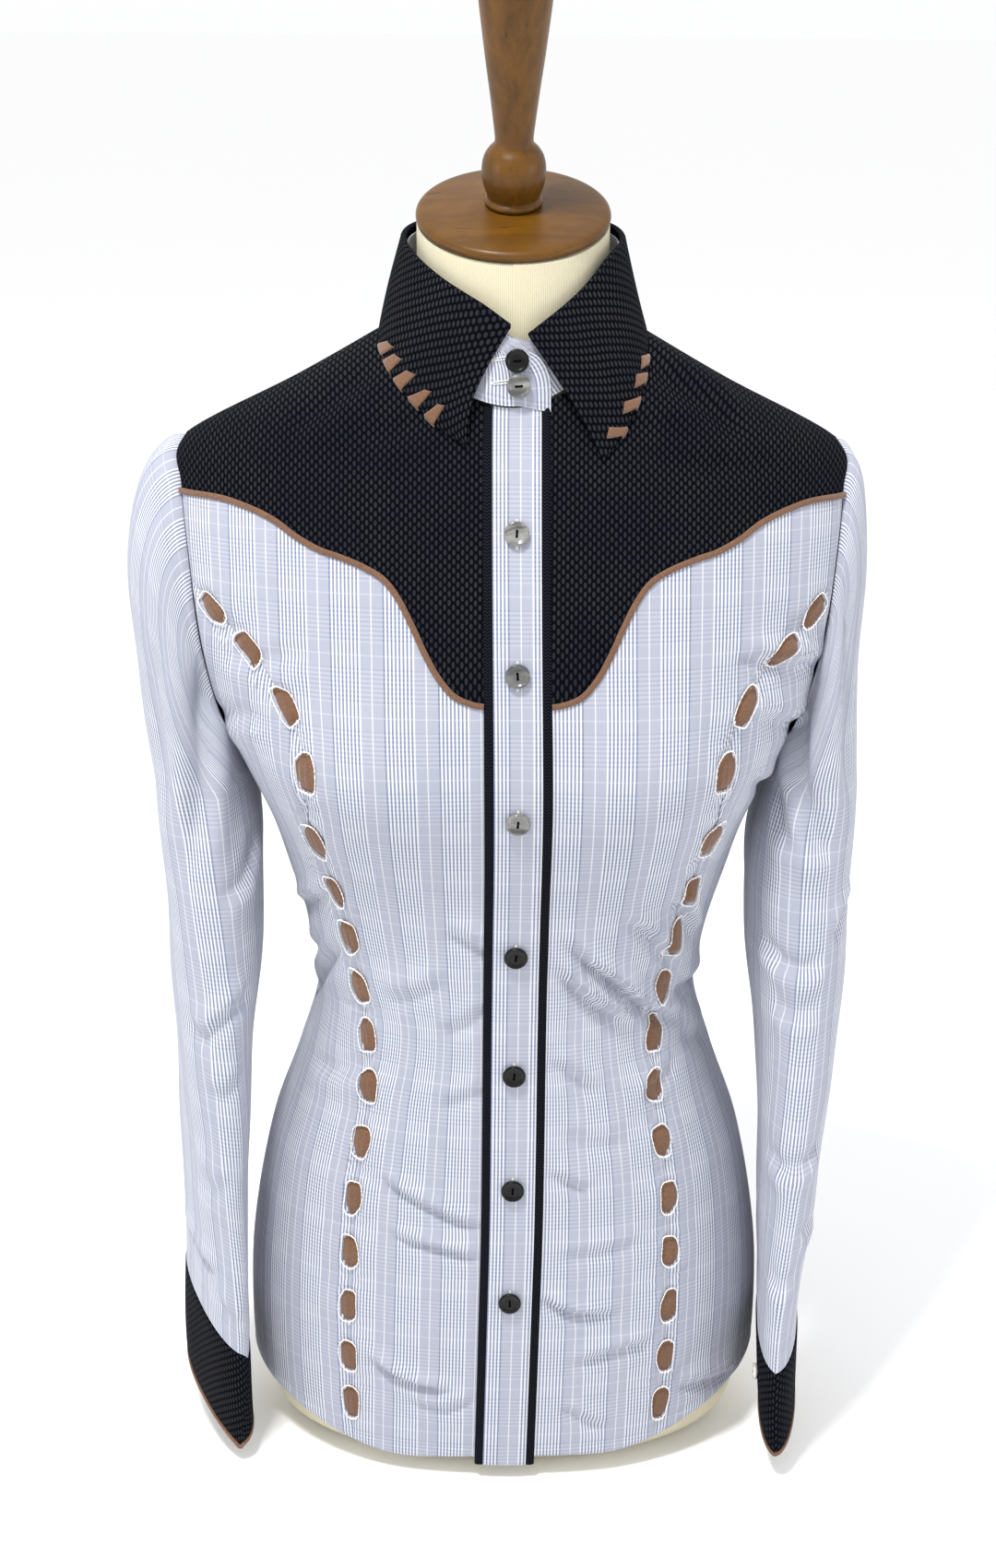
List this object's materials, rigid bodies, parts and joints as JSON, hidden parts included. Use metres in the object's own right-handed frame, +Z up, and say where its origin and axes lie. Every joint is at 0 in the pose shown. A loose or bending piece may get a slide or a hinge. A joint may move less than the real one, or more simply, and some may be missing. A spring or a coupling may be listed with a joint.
{
  "type": "western shirt on a limbless dress form",
  "caption": "Fitted long-sleeved western shirt with pointed yokes, laced princess seams and pointed cuffs, buttoned on a limbless dress form with a turned neck finial.",
  "frame": {"origin": "middle of the dress form's flat bottom, where it stands", "axes": "+Z up, the front of the shirt faces -Y, the wearer's right side is towards -X"},
  "size_m": [0.4464, 0.2475, 0.9456],
  "materials": {
    "plaid_cotton": "fine stretch cotton, woven glen check of white and slate blue on lavender grey, with thin white overcheck lines",
    "black_dobby": "black dobby weave with small raised grey lozenges in staggered rows",
    "black_twill": "navy-black twisted rib weave, cut as narrow bands",
    "brown_suede": "brown suede piping and lacing, matt, with pale thread at the edges",
    "smoke_shell": "polished smoky shell",
    "pale_shell": "polished pale shell",
    "cream_jersey": "ribbed cream cotton jersey, matt",
    "turned_wood": "turned beech stained mid brown, satin varnish"
  },
  "bodies": {
    "root": {"front_centre_left": "plaid_cotton", "front_centre_right": "plaid_cotton", "front_side_left": "plaid_cotton", "front_side_right": "plaid_cotton", "back_panel": "plaid_cotton", "sleeve_left": "plaid_cotton", "sleeve_right": "plaid_cotton", "placket": "plaid_cotton", "under_placket": "plaid_cotton", "collar_stand": "plaid_cotton", "yoke_front_left": "black_dobby", "yoke_front_right": "black_dobby", "yoke_back": "black_dobby", "collar": "black_dobby", "cuff_left": "black_dobby", "cuff_right": "black_dobby", "placket_band_left": "black_twill", "placket_band_right": "black_twill", "yoke_piping_left": "brown_suede", "yoke_piping_right": "brown_suede", "yoke_piping_back": "brown_suede", "cuff_piping_left": "brown_suede", "cuff_piping_right": "brown_suede", "lace_left": "brown_suede", "lace_right": "brown_suede", "collar_lace_left": "brown_suede", "collar_lace_right": "brown_suede", "collar_button_1": "smoke_shell", "collar_button_2": "smoke_shell", "front_button_1": "smoke_shell", "front_button_2": "smoke_shell", "front_button_3": "smoke_shell", "front_button_4": "smoke_shell", "front_button_5": "smoke_shell", "front_button_6": "smoke_shell", "front_button_7": "smoke_shell", "cuff_button_left": "pale_shell", "cuff_button_right": "pale_shell", "form_torso": "cream_jersey", "form_neck_cap": "turned_wood", "form_finial": "turned_wood"}
  },
  "joints": []
}
